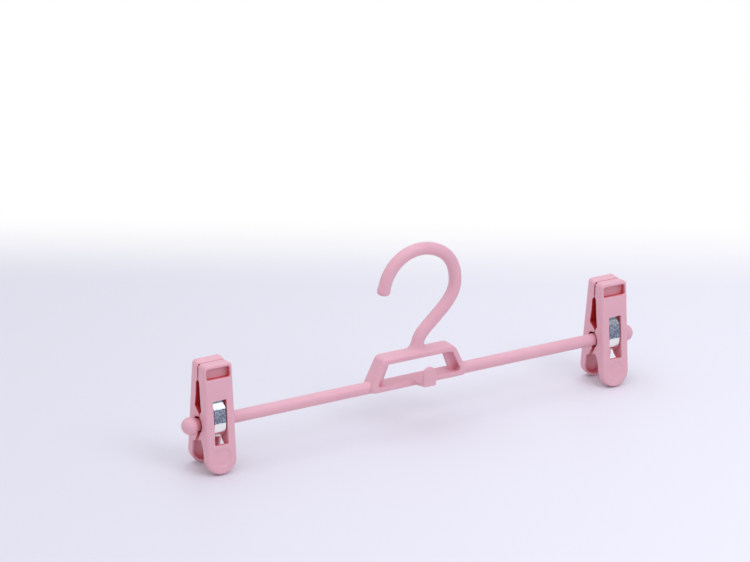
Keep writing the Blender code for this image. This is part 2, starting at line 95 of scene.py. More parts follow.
def helperObject(name, mesh):
    helper = bpy.data.objects.new(name, mesh)
    bpy.context.scene.collection.objects.link(helper)
    helper.hide_render = True
    return helper


def dropObject(obj):
    bpy.data.objects.remove(obj, do_unlink=True)


def settle(obj):
    # Takes the modifiers' result as the object's own mesh
    bpy.context.view_layer.update()
    graph = bpy.context.evaluated_depsgraph_get()
    mesh = bpy.data.meshes.new_from_object(obj.evaluated_get(graph))
    obj.modifiers.clear()
    obj.data = mesh
    return obj


def weld(mesh, distance=0.001):
    solid = bmesh.new()
    solid.from_mesh(mesh)
    bmesh.ops.remove_doubles(solid, verts=solid.verts, dist=distance)
    bmesh.ops.recalc_face_normals(solid, faces=solid.faces)
    solid.to_mesh(mesh)
    solid.free()


frontView = Matrix(((1, 0, 0, 0), (0, 0, -1, 0), (0, 1, 0, 0), (0, 0, 0, 1)))
sideView = Matrix(((0, 0, 1, 0), (1, 0, 0, 0), (0, 1, 0, 0), (0, 0, 0, 1)))


def cutSheet(name, outlines, thickness, view, middle=(0, 0, 0), edgeRound=0.0, roundSteps=5):
    # Flat outlines with a thickness across them: x, z in the front view, and y, z in the side view
    curve = bpy.data.curves.new(name, "CURVE")
    curve.dimensions = "2D"
    curve.fill_mode = "BOTH"
    curve.extrude = thickness / 2 - edgeRound
    curve.bevel_depth = edgeRound
    curve.bevel_resolution = roundSteps
    curve.offset = -edgeRound
    for outline in outlines:
        spline = curve.splines.new("POLY")
        spline.points.add(len(outline) - 1)
        for point, place in zip(spline.points, outline):
            point.co = (*place, 0, 1)
        spline.use_cyclic_u = True
    drawn = bpy.data.objects.new(name, curve)
    bpy.context.scene.collection.objects.link(drawn)
    bpy.context.view_layer.update()
    graph = bpy.context.evaluated_depsgraph_get()
    mesh = bpy.data.meshes.new_from_object(drawn.evaluated_get(graph))
    dropObject(drawn)
    mesh.transform(Matrix.Translation(middle) @ view)
    weld(mesh)
    return helperObject(name, mesh)


def carve(body, tool):
    modifier = body.modifiers.new("carve", "BOOLEAN")
    modifier.operation = "DIFFERENCE"
    modifier.object = tool
    modifier.solver = "EXACT"
    settle(body)
    dropObject(tool)
    return body


def joinShells(body, shells):
    # Puts overlapping closed shells in one mesh: the voxel pass in moulded() makes them one skin
    solid = bmesh.new()
    solid.from_mesh(body.data)
    for shell in shells:
        solid.from_mesh(shell.data)
        dropObject(shell)
    solid.to_mesh(body.data)
    solid.free()
    return body


def moulded(body, mould):
    # One closed skin with small soft edges, as it comes out of a mould
    skin = body.modifiers.new("skin", "REMESH")
    skin.mode = "VOXEL"
    skin.voxel_size = mould["voxel"]
    skin.adaptivity = 0
    soften = body.modifiers.new("soften", "SMOOTH")
    soften.factor = 0.5
    soften.iterations = mould["passes"]
    return settle(body)


def thinned(body, mould):
    # Fewer faces where the skin is nearly flat
    thin = body.modifiers.new("thin", "DECIMATE")
    thin.ratio = mould["keep"]
    return settle(body)


def joinRings(body, rings):
    # Faces between rings of points, where a ring may be a single point
    for ring, after in zip(rings, rings[1:]):
        count = max(len(ring), len(after))
        for corner in range(count):
            other = (corner + 1) % count
            corners = []
            for row, place in ((ring, corner), (ring, other), (after, other), (after, corner)):
                vertex = row[place % len(row)]
                if vertex not in corners:
                    corners.append(vertex)
            body.faces.new(corners)


def bodyObject(name, body):
    bmesh.ops.recalc_face_normals(body, faces=body.faces)
    mesh = bpy.data.meshes.new(name)
    body.to_mesh(mesh)
    body.free()
    return helperObject(name, mesh)


def finishMesh(body):
    mesh = body.data
    mesh.transform(Matrix.Scale(millimetre, 4))
    mesh.shade_smooth()
    dropObject(body)
    return mesh


def placePiece(name, mesh, material, location, turn=0.0):
    mesh.materials.clear()
    mesh.materials.append(material)
    piece = bpy.data.objects.new(name, mesh)
    piece.location = location
    piece.rotation_euler = (0, 0, math.radians(turn))
    bpy.context.scene.collection.objects.link(piece)
    return piece


# Materials

def newGroup(name, inputs, outputs):
    tree = bpy.data.node_groups.new(name, "ShaderNodeTree")
    for label, kind, value in inputs:
        socket = tree.interface.new_socket(label, in_out="INPUT", socket_type=kind)
        socket.default_value = value
    for label, kind in outputs:
        tree.interface.new_socket(label, in_out="OUTPUT", socket_type=kind)
    return tree, tree.nodes.new("NodeGroupInput"), tree.nodes.new("NodeGroupOutput")


def addNode(tree, kind, settings=None, **values):
    node = tree.nodes.new(kind)
    for key, value in (settings or {}).items():
        setattr(node, key, value)
    for key, value in values.items():
        node.inputs[key].default_value = value
    return node


def mixNumbers(tree, operation, first, second, clamp=False):
    node = tree.nodes.new("ShaderNodeMath")
    node.operation = operation
    node.use_clamp = clamp
    for socket, value in zip(node.inputs, (first, second)):
        if isinstance(value, (int, float)):
            socket.default_value = value
        else:
            tree.links.new(value, socket)
    return node.outputs[0]


def mixColours(tree, factor, first, second):
    # Each colour is a plain one or comes from another node
    node = addNode(tree, "ShaderNodeMix", {"data_type": "RGBA"})
    tree.links.new(factor, node.inputs["Factor"])
    for label, colour in (("A", first), ("B", second)):
        if isinstance(colour, tuple):
            node.inputs[label].default_value = (*colour, 1)
        else:
            tree.links.new(colour, node.inputs[label])
    return node.outputs["Result"]


def rangeOf(tree, value, start, end, high=1.0, smooth=True):
    # Goes from 0 to high while the value goes from start to end
    node = addNode(tree, "ShaderNodeMapRange", {"interpolation_type": "SMOOTHSTEP" if smooth else "LINEAR"})
    node.inputs["From Min"].default_value = start
    node.inputs["From Max"].default_value = end
    node.inputs["To Max"].default_value = high
    tree.links.new(value, node.inputs["Value"])
    return node.outputs["Result"]


def splitVector(tree, vector):
    node = addNode(tree, "ShaderNodeSeparateXYZ")
    tree.links.new(vector, node.inputs["Vector"])
    return node.outputs


def buildMouldedSkin():
    # Fine spark-eroded grain with broad, faint flow marks, as on satin moulded plastic
    tree, source, result = newGroup(
        "mouldedSkin",
        [
            ("Grain Size", "NodeSocketFloat", 2200.0),
            ("Flow Size", "NodeSocketFloat", 60.0),
            ("Roughness", "NodeSocketFloat", 0.42),
            ("Roughness Spread", "NodeSocketFloat", 0.08),
            ("Grain Depth", "NodeSocketFloat", 0.25),
        ],
        [("Shade", "NodeSocketFloat"), ("Roughness", "NodeSocketFloat"), ("Normal", "NodeSocketVector")],
    )
    place = addNode(tree, "ShaderNodeTexCoord")
    grain = addNode(tree, "ShaderNodeTexNoise", Detail=3.0, Roughness=0.6)
    flow = addNode(tree, "ShaderNodeTexNoise", Detail=2.0, Roughness=0.5, Distortion=0.6)
    for noiseNode, size in ((grain, "Grain Size"), (flow, "Flow Size")):
        tree.links.new(place.outputs["Object"], noiseNode.inputs["Vector"])
        tree.links.new(source.outputs[size], noiseNode.inputs["Scale"])
    tree.links.new(flow.outputs["Fac"], result.inputs["Shade"])
    swing = mixNumbers(tree, "SUBTRACT", flow.outputs["Fac"], 0.5)
    spread = mixNumbers(tree, "MULTIPLY", swing, source.outputs["Roughness Spread"])
    rough = mixNumbers(tree, "ADD", source.outputs["Roughness"], spread, clamp=True)
    tree.links.new(rough, result.inputs["Roughness"])
    bump = addNode(tree, "ShaderNodeBump", Distance=0.00002)
    tree.links.new(grain.outputs["Fac"], bump.inputs["Height"])
    tree.links.new(source.outputs["Grain Depth"], bump.inputs["Strength"])
    tree.links.new(bump.outputs["Normal"], result.inputs["Normal"])
    return tree


def useGroup(tree, group, **values):
    node = tree.nodes.new("ShaderNodeGroup")
    node.node_tree = group
    for key, value in values.items():
        node.inputs[key].default_value = value
    return node


def newMaterial(name):
    material = bpy.data.materials.new(name)
    material.use_nodes = True
    tree = material.node_tree
    return material, tree, tree.nodes["Principled BSDF"]


pinkLook = {
    "lightColour": (0.812, 0.466, 0.582),
    "deepColour": (0.780, 0.432, 0.545),
    "roughness": 0.42,
    "shine": 0.55,
    "glow": 0.12,  # how much light spreads under the skin, and how far in metres
    "glowReach": 0.0012,
    "glowSpread": (1.0, 0.35, 0.4),
    # Painted shade in hollows: base colours by openness, darker and redder the more closed in
    "paintedShadeStops": (  # from closed in to nearly open
        (0.04, (0.50, 0.010, 0.012)),
        (0.15, (0.64, 0.040, 0.050)),
        (0.27, (0.74, 0.170, 0.215)),
        (0.41, (0.79, 0.335, 0.420)),
        (0.75, (0.80, 0.425, 0.520)),
    ),
    "paintedShadeFade": 0.25,
    # Painted shade on faces toward the other jaw, and painted light lifting faces turned outward
    "innerFacing": (-0.1, 0.5),
    "innerShadeDepth": (0.21, 0.42),  # near the floor, and higher up
    "outerFacing": (-0.3, -0.8),
    "outerPaintedLift": 0.14,
    "footHeight": (0.012, 0.020),
    "seamWidth": 0.00048,
    # The seam colour is a painted highlight along the ridge
    "seamHighlightColour": (0.900, 0.610, 0.700),
    "seamHeight": 0.00028,
    "seamStrength": 0.9,
    "raySamples": 12,
}


def fillRamp(node, stops):
    ramp = node.color_ramp
    while len(ramp.elements) < len(stops):
        ramp.elements.new(0.5)
    for element, (where, colour) in zip(ramp.elements, stops):
        element.position = where
        element.color = (*colour, 1)


def opennessOf(tree, reach, ownOnly=False):
    settings = {"samples": pinkLook["raySamples"], "only_local": ownOnly}
    return addNode(tree, "ShaderNodeAmbientOcclusion", settings, Distance=reach).outputs["AO"]


def jawOpenness(tree, reach, place, height):
    # Near the floor only the jaw's own hollows count towards the painted shade
    raised = rangeOf(tree, height, *pinkLook["footHeight"])
    both = addNode(tree, "ShaderNodeMix", {"data_type": "FLOAT"})
    tree.links.new(raised, both.inputs["Factor"])
    tree.links.new(opennessOf(tree, reach, ownOnly=True), both.inputs["A"])
    tree.links.new(opennessOf(tree, reach), both.inputs["B"])
    # Painted shade: faces that look at the other jaw are pushed deeper into the painted hollow colour, as
    # they get little light but what comes through the plastic
    facing = splitVector(tree, place.outputs["Normal"])["Y"]
    inner = rangeOf(tree, facing, *pinkLook["innerFacing"])
    deep = addNode(tree, "ShaderNodeMapRange")
    deep.inputs["To Min"].default_value, deep.inputs["To Max"].default_value = pinkLook["innerShadeDepth"]
    tree.links.new(raised, deep.inputs["Value"])
    innerShade = mixNumbers(tree, "MULTIPLY", inner, deep.outputs["Result"])
    openness = mixNumbers(tree, "SUBTRACT", both.outputs["Result"], innerShade)
    # Painted light: faces turned outward are lifted out of the painted shade
    outer = rangeOf(tree, facing, *pinkLook["outerFacing"], high=pinkLook["outerPaintedLift"])
    return mixNumbers(tree, "ADD", openness, outer)


def addSeam(tree, depth, colour, normal):
    # The raised line where the two halves of the mould met, drawn lighter as a painted highlight on the ridge
    away = mixNumbers(tree, "ABSOLUTE", depth, 0)
    line = rangeOf(tree, away, pinkLook["seamWidth"], 0.0)
    ridge = addNode(
        tree, "ShaderNodeBump", Distance=pinkLook["seamHeight"], Strength=pinkLook["seamStrength"]
    )
    tree.links.new(line, ridge.inputs["Height"])
    tree.links.new(normal, ridge.inputs["Normal"])
    return mixColours(tree, line, colour, pinkLook["seamHighlightColour"]), ridge.outputs["Normal"]


def buildPinkPlastic(skin, name, reach, seam=False, foot=False):
    # Painted shade: hollows, found by ambient occlusion, take a darker and redder base colour, standing in
    # for the shade inside them and the redder light that bounces about there
    material, tree, shader = newMaterial(name)
    surface = useGroup(tree, skin, Roughness=pinkLook["roughness"])
    tone = mixColours(tree, surface.outputs["Shade"], pinkLook["deepColour"], pinkLook["lightColour"])
    place = addNode(tree, "ShaderNodeTexCoord")
    split = splitVector(tree, place.outputs["Object"])
    openness = jawOpenness(tree, reach, place, split["Z"]) if foot else opennessOf(tree, reach)
    hollow = addNode(tree, "ShaderNodeValToRGB")
    fillRamp(hollow, pinkLook["paintedShadeStops"])
    tree.links.new(openness, hollow.inputs["Fac"])
    last = pinkLook["paintedShadeStops"][-1][0]
    share = rangeOf(tree, openness, last, last - pinkLook["paintedShadeFade"], smooth=False)
    colour = mixColours(tree, share, tone, hollow.outputs["Color"])
    normal = surface.outputs["Normal"]
    if seam:
        colour, normal = addSeam(tree, split["Y"], colour, normal)
    tree.links.new(colour, shader.inputs["Base Color"])
    tree.links.new(surface.outputs["Roughness"], shader.inputs["Roughness"])
    tree.links.new(normal, shader.inputs["Normal"])
    shader.inputs["Subsurface Weight"].default_value = pinkLook["glow"]
    shader.inputs["Subsurface Radius"].default_value = pinkLook["glowSpread"]
    shader.inputs["Subsurface Scale"].default_value = pinkLook["glowReach"]
    shader.inputs["Specular IOR Level"].default_value = pinkLook["shine"]
    return material


steelLook = {
    # Painted reflections: white for the lamps at the bends, dark blue-grey for dark surroundings on the
    # flats, with the zinc's crystal pattern across the flats
    "paintedLampWhite": (0.93, 0.95, 0.98),
    "flatDarkReflection": (0.070, 0.105, 0.170),
    "flatPaleReflection": (0.440, 0.490, 0.610),
    "flatEdge": 0.2,
    "wobbleScale": 0.5,
    "wobble": 0.5,
    "slopeShare": 0.8,
    "slopeStart": (-0.3, 0.1),
    # Painted shade: the crease colour is a dark line along the valley of the bend
    "crease": (0.22, 0.25, 0.30),
    "creaseWidth": (0.9, 0.4),
    "roughness": 0.12,
    "roughnessSpread": 0.16,
    "grain": 1.2,
    "grainSoftness": 0.35,
    "mottleScale": 1.9,
    "mottleShare": 0.55,
    "contrast": (0.28, 0.72),
}


def buildSpringSteel(flatStart, flatEnd, crease, middle):
    # Zinc with coarse crystals on the flats, painted dark there as a painted reflection of dark surroundings,
    # and painted white at the bends as a painted reflection of the lamps. UVs are in millimetres
    material, tree, shader = newMaterial("zincSteel")
    place = addNode(tree, "ShaderNodeUVMap", {"uv_map": "strip"}).outputs["UV"]
    run = splitVector(tree, place)["X"]
    along = mixNumbers(tree, "ABSOLUTE", mixNumbers(tree, "SUBTRACT", run, middle), 0)
    centre = (flatStart + flatEnd) / 2
    off = mixNumbers(tree, "ABSOLUTE", mixNumbers(tree, "SUBTRACT", along, centre), 0)
    wave = addNode(tree, "ShaderNodeTexNoise", Scale=steelLook["wobbleScale"], Detail=2.0)
    swing = mixNumbers(tree, "SUBTRACT", wave.outputs["Fac"], 0.5)
    wobble = mixNumbers(tree, "MULTIPLY", swing, steelLook["wobble"])
    half = (flatEnd - flatStart) / 2
    edge = steelLook["flatEdge"]
    flat = rangeOf(tree, mixNumbers(tree, "ADD", off, wobble), half + edge, half - edge)

    crystal = addNode(
        tree, "ShaderNodeTexVoronoi", {"feature": "SMOOTH_F1"},
        Scale=steelLook["grain"], Smoothness=steelLook["grainSoftness"],
    )
    mottle = addNode(
        tree, "ShaderNodeTexNoise", Scale=steelLook["mottleScale"], Detail=4.0, Roughness=0.7, Distortion=1.6
    )
    for node in (wave, crystal, mottle):
        tree.links.new(place, node.inputs["Vector"])
    cells = addNode(tree, "ShaderNodeSeparateColor")
    tree.links.new(crystal.outputs["Color"], cells.inputs["Color"])
    blend = addNode(tree, "ShaderNodeMix", {"data_type": "FLOAT"}, Factor=steelLook["mottleShare"])
    tree.links.new(cells.outputs[0], blend.inputs["A"])
    tree.links.new(mottle.outputs["Fac"], blend.inputs["B"])
    spread = rangeOf(tree, blend.outputs["Result"], *steelLook["contrast"], smooth=False)
    spangleAndReflection = mixColours(tree, spread, steelLook["flatDarkReflection"], steelLook["flatPaleReflection"])

    # The slope above the flat is part grey from the flats' painted dark, so it only turns white where it
    # mirrors a lamp
    before, after = steelLook["slopeStart"]
    slope = rangeOf(tree, along, flatEnd + before, flatEnd + after, high=steelLook["slopeShare"])
    grey = mixNumbers(tree, "MAXIMUM", flat, slope)
    tone = mixColours(tree, grey, steelLook["paintedLampWhite"], spangleAndReflection)
    # Painted shade: a dark line along the crease of the bend
    fromCrease = mixNumbers(tree, "ABSOLUTE", mixNumbers(tree, "SUBTRACT", along, crease), 0)
    creaseShade = rangeOf(tree, fromCrease, *steelLook["creaseWidth"])
    tree.links.new(mixColours(tree, creaseShade, tone, steelLook["crease"]), shader.inputs["Base Color"])

    swing = mixNumbers(tree, "MULTIPLY", mottle.outputs["Fac"], steelLook["roughnessSpread"])
    rough = mixNumbers(tree, "ADD", swing, steelLook["roughness"])
    tree.links.new(rough, shader.inputs["Roughness"])
    bump = addNode(tree, "ShaderNodeBump", Distance=0.00003, Strength=0.35)
    tree.links.new(mottle.outputs["Fac"], bump.inputs["Height"])
    tree.links.new(bump.outputs["Normal"], shader.inputs["Normal"])
    shader.inputs["Metallic"].default_value = 1.0
    return material


mouldedSkin = buildMouldedSkin()
pinkJaw = buildPinkPlastic(mouldedSkin, "pinkJaw", 0.018, foot=True)
pinkMoulding = buildPinkPlastic(mouldedSkin, "pinkMoulding", 0.006, seam=True)
pinkBall = buildPinkPlastic(mouldedSkin, "pinkBall", 0.010)
print("plastic built")

# Where things are, read from the frame
barLow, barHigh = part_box("right_bar")
barY = (barLow.y + barHigh.y) / 2
barZ = (barLow.z + barHigh.z) / 2
jawLow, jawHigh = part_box("right_front_jaw")
clipX = (jawLow.x + jawHigh.x) / 2
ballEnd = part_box("right_ball")[1].x
barLevel = barZ / millimetre


# The hanger moulding: hook, neck, frame, lug and bars in one

hook = {
    "rod": 7.6,
    "radius": 24.3,
    "swell": 0.75,
    "swellAngle": 38.0,
    "swellSpread": 28.0,
    "middle": (2.0, 85.3),
    "tipAngle": 180.5,
    "tipRound": 2.2,
    "tipLip": 0.45,
    "tipLipLength": 5.0,
    "tipLipRise": 1.5,
    "sidePull": 9.3,
    "bend": (14.5, 66.5),
    "bendAngle": 224.0,
    "bendPulls": (2.2, 15.2),
    "foot": (1.0, 45.4),
    "footPull": 11.1,
    "neckStart": 52.3,
    "neckEnd": 46.6,
    "neckFlare": 5.5,
    "neckFlareDepth": 1.6,
    "sides": 40,
}


def drawHook():
    path = []
    for step in range(61):
        angle = hook["tipAngle"] * (1 - step / 60)
        swell = hook["swell"] * math.exp(-((angle - hook["swellAngle"]) / hook["swellSpread"]) ** 2)
        path.append(onCircle(hook["middle"], hook["radius"] + swell, angle))
    side = Vector(path[-1])
    bend = Vector(hook["bend"])
    foot = Vector(hook["foot"])
    heading = Vector(onCircle((0, 0), 1, hook["bendAngle"]))
    down = Vector((0, -1))
    above, below = hook["bendPulls"]
    runs = (
        (side, side + down * hook["sidePull"], bend - heading * above, bend, 16),
        (bend, bend + heading * below, foot - down * hook["footPull"], foot, 40),
    )
    for start, leave, arrive, end, steps in runs:
        path += [tuple(point) for point in interpolate_bezier(start, leave, arrive, end, steps + 1)[1:]]
    points = [Vector(point) for point in path]
    start = points[0]
    first = (points[1] - start).normalized()
    tip = [start + first * hook["tipRound"] * share for share in (0, 0.02, 0.08, 0.18, 0.32, 0.5, 0.72)]
    points = tip + [point for point in points if (point - start).length > hook["tipRound"]]
    body = bmesh.new()
    rings = []
    travel = 0.0
    for index, place in enumerate(points):
        if index:
            travel += (place - points[index - 1]).length
        along = (points[min(index + 1, len(points) - 1)] - points[max(index - 1, 0)]).normalized()
        if index == len(points) - 1:
            along = down
        across = Vector((-along.y, along.x))
        wide = deep = hook["rod"] / 2
        if travel < hook["tipRound"]:
            gone = 1 - travel / hook["tipRound"]
            wide = deep = wide - hook["tipRound"] * (1 - math.sqrt(max(0, 1 - gone ** 2)))
        flare = (hook["neckStart"] - place.y) / (hook["neckStart"] - hook["neckEnd"])
        if flare > 0 and travel > hook["radius"] * 2:
            share = 1 - math.sqrt(max(0, 1 - min(flare, 1) ** 2))
            wide += hook["neckFlare"] * share
            deep += hook["neckFlareDepth"] * share
        lip = hook["tipLip"] * min(1.0, travel / hook["tipLipRise"]) if travel < hook["tipLipLength"] else 0.0
        ring = []
        for corner in range(hook["sides"]):
            angle = 2 * math.pi * corner / hook["sides"]
            inner = max(0.0, math.cos(angle))
            flat = place + across * (wide * math.cos(angle) + lip * inner)
            ring.append(body.verts.new((flat.x, deep * math.sin(angle), flat.y)))
        rings.append(ring)
    joinRings(body, rings)
    body.faces.new(rings[0])
    body.faces.new(rings[-1])
    return bodyObject("hookRod", body)


frameBand = {
    "low": 26.0,
    "high": 46.6,
    "lowWidth": 69.4,
    "highWidth": 49.0,
    "depth": 11.5,
    "wall": 3.4,
    "outerRound": (3.0, 3.0, 5.5, 4.0),
    "innerRound": 1.9,
    "edgeRound": 1.55,
    "webWidth": 5.3,
    "webThickness": 2.0,
    "webEdge": 0.4,
}


def frameCorners(inset):
    # Bottom left, bottom right, top right, top left of the trapezoid, moved in by a wall
    slope = (frameBand["lowWidth"] - frameBand["highWidth"]) / 2 / (frameBand["high"] - frameBand["low"])
    across = inset * math.sqrt(1 + slope ** 2)
    low = frameBand["low"] + inset
    high = frameBand["high"] - inset
    lowHalf = frameBand["lowWidth"] / 2 - slope * inset - across
    highHalf = frameBand["highWidth"] / 2 + slope * inset - across
    return [(-lowHalf, low), (lowHalf, low), (highHalf, high), (-highHalf, high)]


def drawFrame():
    outer = roundCorners(frameCorners(0), frameBand["outerRound"], 10)
    band = cutSheet("frameBand", [outer], frameBand["depth"], frontView, edgeRound=frameBand["edgeRound"])
    inner = frameCorners(frameBand["wall"])
    hole = roundCorners(inner, frameBand["innerRound"], 6)
    carve(band, cutSheet("frameHole", [hole], frameBand["depth"] * 2, frontView))
    webs = []
    into = frameBand["wall"] / 2
    for side in (-1, 1):
        lowHalf, low = inner[1]
        highHalf, high = inner[2]
        corners = [
            (side * (lowHalf - frameBand["webWidth"]), low - into),
            (side * (lowHalf + into), low - into),
            (side * (highHalf + into), high + into),
            (side * (highHalf - frameBand["webWidth"]), high + into),
        ]
        thick = frameBand["webThickness"]
        webs.append(cutSheet("frameWeb", [corners], thick, frontView, (0, 0, 0), frameBand["webEdge"], 2))
    return joinShells(band, webs)


lug = {
    "width": 8.4,
    "front": 17.3,
    "tab": 2.3,
    "tabLow": 29.2,
    "tabHigh": 41.3,
    "tabEdge": 0.45,
    "tabRound": 0.9,
    "shelf": ((0.5, 28.6), (-0.5, 29.8), (-15.2, 30.1)),
    "under": ((-5.0, 27.0), (-16.4, 29.3)),
    "shelfInset": 0.35,
    "shelfEdge": 0.2,
    "shelfEnd": 1.2,  # how far the shelf runs into the tab
}


def drawLug():
    half = lug["width"] / 2
    crown = arcPoints((0, lug["tabHigh"] - half), half, 0, 180, 24)
    corners = [crown[-1], (-half, lug["tabLow"]), (half, lug["tabLow"]), crown[0]]
    face = roundCorners(corners, [0, lug["tabRound"], lug["tabRound"], 0], 5) + crown[1:-1]
    place = (0, -lug["front"] + lug["tab"] / 2, 0)
    tab = cutSheet("lugTab", [face], lug["tab"], frontView, place, lug["tabEdge"])
    inTab = (-lug["front"] + lug["tab"] - lug["shelfEnd"], lug["shelf"][2][1])
    profile = [*lug["shelf"], inTab, lug["under"][1], lug["under"][0], (0.5, 27.0)]
    wide = lug["width"] - lug["shelfInset"] * 2
    shelf = cutSheet("lugShelf", [profile], wide, sideView, (0, 0, 0), lug["shelfEdge"], 2)
    return [tab, shelf]


bar = {"diameter": 7.4, "inside": 30.5, "outside": 144.0, "sides": 48}


def drawBar(side):
    start = bar["inside"] * side
    end = bar["outside"] * side
    lying = Matrix.Rotation(math.radians(90), 4, "Y")
    rod = bmesh.new()
    bmesh.ops.create_cone(
        rod,
        cap_ends=True,
        segments=bar["sides"],
        radius1=bar["diameter"] / 2,
        radius2=bar["diameter"] / 2,
        depth=abs(end - start),
        matrix=Matrix.Translation(((start + end) / 2, 0, barLevel)) @ lying,
    )
    return bodyObject("barRod", rod)


hangerMould = {"voxel": 0.25, "passes": 3, "keep": 0.22}


def buildHanger():
    body = drawFrame()
    joinShells(body, [drawHook(), drawBar(-1), drawBar(1), *drawLug()])
    moulded(body, hangerMould)
    mesh = finishMesh(thinned(body, hangerMould))
    piece = placePiece("hangerMoulding", mesh, pinkMoulding, (0, barY, 0))
    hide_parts("hook", "frame", "lug", "left_bar", "right_bar")
    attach(piece, "hanger")
    print("hanger moulding built:", len(mesh.polygons), "faces")


endBall = {"radius": 5.3, "stub": 5.6, "sides": 48, "steps": 28, "filletAngle": 3, "filletLength": 0.35}


def buildBalls():
    # Turned outline: a short stub of the bar, a small fillet and the ball
    radius = endBall["radius"]
    rod = bar["diameter"] / 2
    meet = math.degrees(math.asin(rod / radius))
    root = -radius * math.cos(math.radians(meet)) - endBall["filletLength"]
    outline = [(-endBall["stub"], 0), (-endBall["stub"], rod), (root, rod)]
    first = 180 - meet - endBall["filletAngle"]
    outline += [(x, max(0.0, r)) for x, r in arcPoints((0, 0), radius, first, 0, endBall["steps"])]
    body = bmesh.new()
    rings = []
    for x, r in outline:
        if r < 0.001:
            rings.append([body.verts.new((x, 0, 0))])
            continue
        ring = []
        for corner in range(endBall["sides"]):
            angle = 2 * math.pi * corner / endBall["sides"]
            ring.append(body.verts.new((x, r * math.cos(angle), r * math.sin(angle))))
        rings.append(ring)
    joinRings(body, rings)
    mesh = finishMesh(bodyObject("endBall", body))
    for side, name, turn in ((-1, "left", 180), (1, "right", 0)):
        place = (side * (ballEnd - radius * millimetre), barY, barZ)
        piece = placePiece(name + "Ball", mesh, pinkBall, place, turn)
        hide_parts(name + "_ball")
        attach(piece, name + "_end")
    print("end balls built")


# The jaws: one mould makes all four

jaw = {
    "width": 18.6,
    "topWidth": 18.3,
    "length": 66.6,
    "topDepth": 7.5,
    "tipDepth": 14.0,
    "rimDepth": 8.0,
    "cornerRound": 2.4,
    "edgeRound": 1.5,
    "plate": 2.2,
    "sideWall": 1.45,
    "gap": 0.15,
    "windowHalf": 4.3,
    "windowLow": 18.5,
    "windowHigh": 45.1,
    "windowRound": 0.6,
    "recessHalf": 7.53,
    "recessLow": 58.0,
    "recessHigh": 64.3,
    "recessRound": 1.2,
    "recessDepth": 4.3,
    "recessLip": 0.45,
    "recessLipDepth": 0.3,
    "gripHeight": 9.6,
    "teeth": 7,
    "teethStart": 1.1,  # below the top
    "toothDepth": 1.5,
    "toothPeak": 0.32,  # shares of the pitch
    "toothEnd": 0.64,
    "nose": (34.1, 35.4),
    "noseOver": 1.6,
    "bore": 4.85,
    "pocketHigh": 16.8,
    "channelLow": 15.4,
    "bridgeHigh": 39.6,
    "handleWall": 1.9,
    "dishMiddle": 10.4,
    "dishRadius": 5.7,
    "dishDepth": 0.5,
    "dishPower": 8,  # a higher one gives a flatter floor and a steeper rim
}
jawMould = {"voxel": 0.22, "passes": 3, "keep": 0.3}
jawSlope = (jaw["tipDepth"] - jaw["topDepth"]) / jaw["length"]
jawLean = math.atan(jawSlope)
jawLift = (jaw["tipDepth"] - jaw["rimDepth"]) * jawSlope
leanPlace = Matrix.Translation((0, -jaw["tipDepth"], jawLift)) @ Matrix.Rotation(-jawLean, 4, "X")


def alongFace(z):
    return (z - jawLift) / math.cos(jawLean)


def leanSheet(name, outline, near, far, edgeRound=0.0, roundSteps=6):
    # A sheet that lies along the jaw's leaning outer face, from one depth under it to another
    sheet = cutSheet(name, [outline], far - near, frontView, (0, (near + far) / 2, 0), edgeRound, roundSteps)
    sheet.data.transform(leanPlace)
    return sheet


def uprightSheet(name, outline, low, high):
    # Side outline in depth and height, between two places across the jaw
    points = [(-depth, z) for depth, z in outline]
    return cutSheet(name, [points], high - low, sideView, ((low + high) / 2, 0, 0))


def mouthOutline(over):
    # Side view of the room between the jaws: depth from the middle, height.
    # One side wall reaches over the middle at the nose, and the other stays short of it.
    # Below the bar both claws stay short enough for the jaws to open
    far = -jaw["tipDepth"] * 2
    top = jaw["length"]
    gap = jaw["gap"]
    grip = top - jaw["gripHeight"]
    noseLow, noseHigh = jaw["nose"]
    reach = -jaw["noseOver"] if over else jaw["noseOver"]
    face = reach + gap
    points = [(far, top + 4), (gap + 0.9, top + 4)]
    points += [(gap + 0.55, top), (gap + 0.15, top - 0.5), (gap, top - 0.9)]
    pitch = (jaw["gripHeight"] - 1.2) / jaw["teeth"]
    for tooth in range(jaw["teeth"]):
        z = top - jaw["teethStart"] - tooth * pitch
        peak = z - pitch * jaw["toothPeak"]
        points += [(gap, z), (gap + jaw["toothDepth"], peak), (gap, z - pitch * jaw["toothEnd"])]
    if over:
        points += [(gap, grip - 0.4), (2.2, 54.3), (2.5, 50.0), (2.6, 47.0), (3.3, 42.0), (3.8, 39.0)]
    else:
        points += [(gap, grip - 0.4), (1.5, 55.2), (2.0, 52.0), (2.5, 47.0), (3.0, 43.0), (4.0, 38.0)]
    points += [(face + 0.2, noseHigh), (face, noseHigh - 0.3), (face, noseLow), (face + 0.4, noseLow - 0.5)]
    away = math.degrees(math.acos((face + 0.25) / jaw["bore"]))
    clawDepth = -0.05 if over else 2.4
    clawEnd = math.degrees(math.acos(clawDepth / jaw["bore"]))
    points += arcPoints((0, barLevel), jaw["bore"], away, -clawEnd, 28)
    if over:
        points += [(0.1, 23.4), (2.85, 18.9), (3.3, 18.0), (3.9, 17.5), (5.5, 16.7), (6.2, 16.0)]
    else:
        points += [(2.55, 23.8), (0.4, 19.5), (0.6, 19.0), (1.2, 18.9), (2.3, 20.1), (3.4, 20.2), (5.2, 17.6)]
    rim = jaw["rimDepth"]
    points += [(6.6, 14.8), (7.0, 11.2), (7.6, 8.5), (rim + 0.1, 4.0), (rim + 0.3, -4), (far, -4)]
    return points


